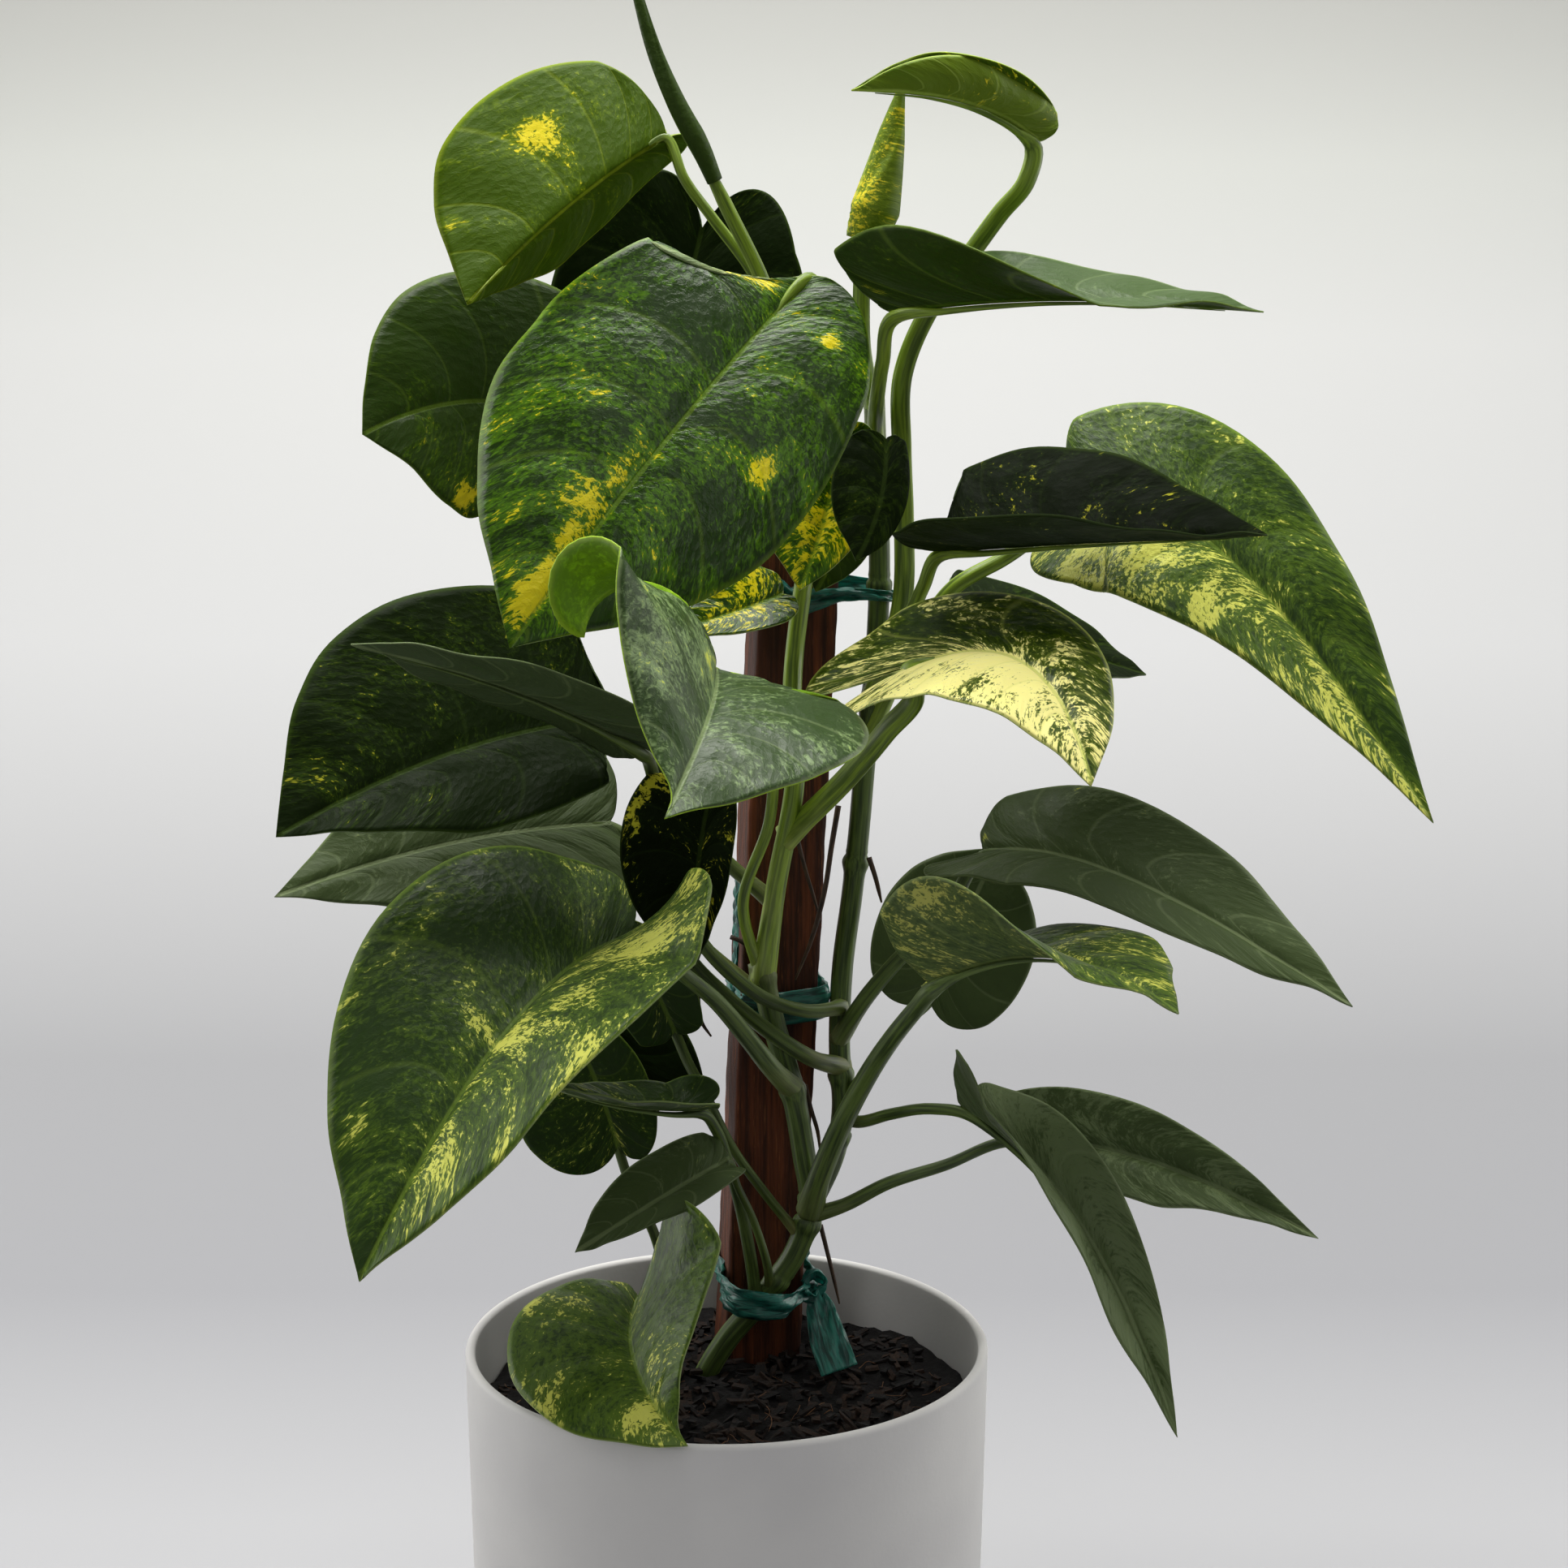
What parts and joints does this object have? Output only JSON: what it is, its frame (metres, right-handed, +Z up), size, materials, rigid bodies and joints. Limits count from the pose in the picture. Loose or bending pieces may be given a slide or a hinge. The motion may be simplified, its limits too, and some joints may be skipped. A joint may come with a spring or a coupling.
{
  "type": "potted pothos plant",
  "caption": "Marbled pothos climbing a square cedar stake in a plain round white pot, with heart-shaped leaves on long stalks held to the stake by soft teal ties.",
  "frame": {"origin": "centre of the underside of the pot, on the surface it rests on", "axes": "+Z up along the pot's axis; -Y towards the front, where most leaves face; +X to the right seen from the front"},
  "size_m": [0.3432, 0.2133, 0.5702],
  "materials": {
    "glazed_white": "matt white",
    "potting_soil": "loose bark and peat, matt",
    "cedar": "rough sawn",
    "stem_green": "smooth and slightly waxy",
    "root_brown": "dry and matt",
    "teal_tape": "thin, wrinkled and translucent",
    "leaf_dark": "glossy dark green",
    "leaf_green": "glossy mid green",
    "leaf_lit": "bright green, lit from behind",
    "leaf_grey": "pale grey-green sheen",
    "leaf_marbled": "green marbled with yellow",
    "leaf_gold": "yellow-gold marbled with green"
  },
  "bodies": {
    "root": {"pot": "glazed_white", "soil": "potting_soil", "stake": "cedar", "vine_left": "stem_green", "vine_right": "stem_green", "aerial_root": "root_brown", "stalk_top_left": "stem_green", "stalk_top_spear": "stem_green", "stalk_new_roll": "stem_green", "stalk_front_great": "stem_green", "stalk_top_right": "stem_green", "stalk_right_blade": "stem_green", "stalk_right_drooping": "stem_green", "stalk_right_dark": "stem_green", "stalk_front_gold": "stem_green", "stalk_front_grey": "stem_green", "stalk_left_dark": "stem_green", "stalk_left_edge": "stem_green", "stalk_left_under": "stem_green", "stalk_left_upper": "stem_green", "stalk_low_back": "stem_green", "stalk_low_grey": "stem_green", "stalk_pot_rim": "stem_green", "stalk_low_middle": "stem_green", "leaf_top_left": "leaf_lit", "leaf_back_round": "leaf_dark", "leaf_front_great": "leaf_gold", "leaf_left_upper": "leaf_green", "leaf_inner_marbled": "leaf_gold", "leaf_inner_shaded": "leaf_green", "leaf_inner_low": "leaf_gold", "leaf_inner_dark": "leaf_dark", "leaf_top_right": "leaf_lit", "leaf_right_blade": "leaf_grey", "leaf_right_drooping": "leaf_marbled", "leaf_right_dark": "leaf_dark", "leaf_right_shaded": "leaf_dark", "leaf_front_gold": "leaf_gold", "leaf_front_grey": "leaf_grey", "leaf_left_dark": "leaf_dark", "leaf_left_edge": "leaf_grey", "leaf_left_under": "leaf_dark", "leaf_left_marbled": "leaf_marbled", "leaf_middle_hanging": "leaf_marbled", "leaf_low_back": "leaf_marbled", "leaf_low_narrow": "leaf_marbled", "leaf_low_grey": "leaf_grey", "leaf_pot_rim": "leaf_marbled", "leaf_right_low": "leaf_dark", "leaf_right_marbled": "leaf_marbled", "leaf_right_hanging": "leaf_dark", "leaf_right_trailing": "leaf_dark", "leaf_right_outer": "leaf_dark", "leaf_low_middle": "leaf_marbled", "leaf_low_shade": "leaf_dark", "leaf_top_spear": "leaf_green", "leaf_new_roll": "leaf_marbled", "tie_top": "teal_tape", "tie_middle": "teal_tape", "tie_foot": "teal_tape"}
  },
  "joints": []
}
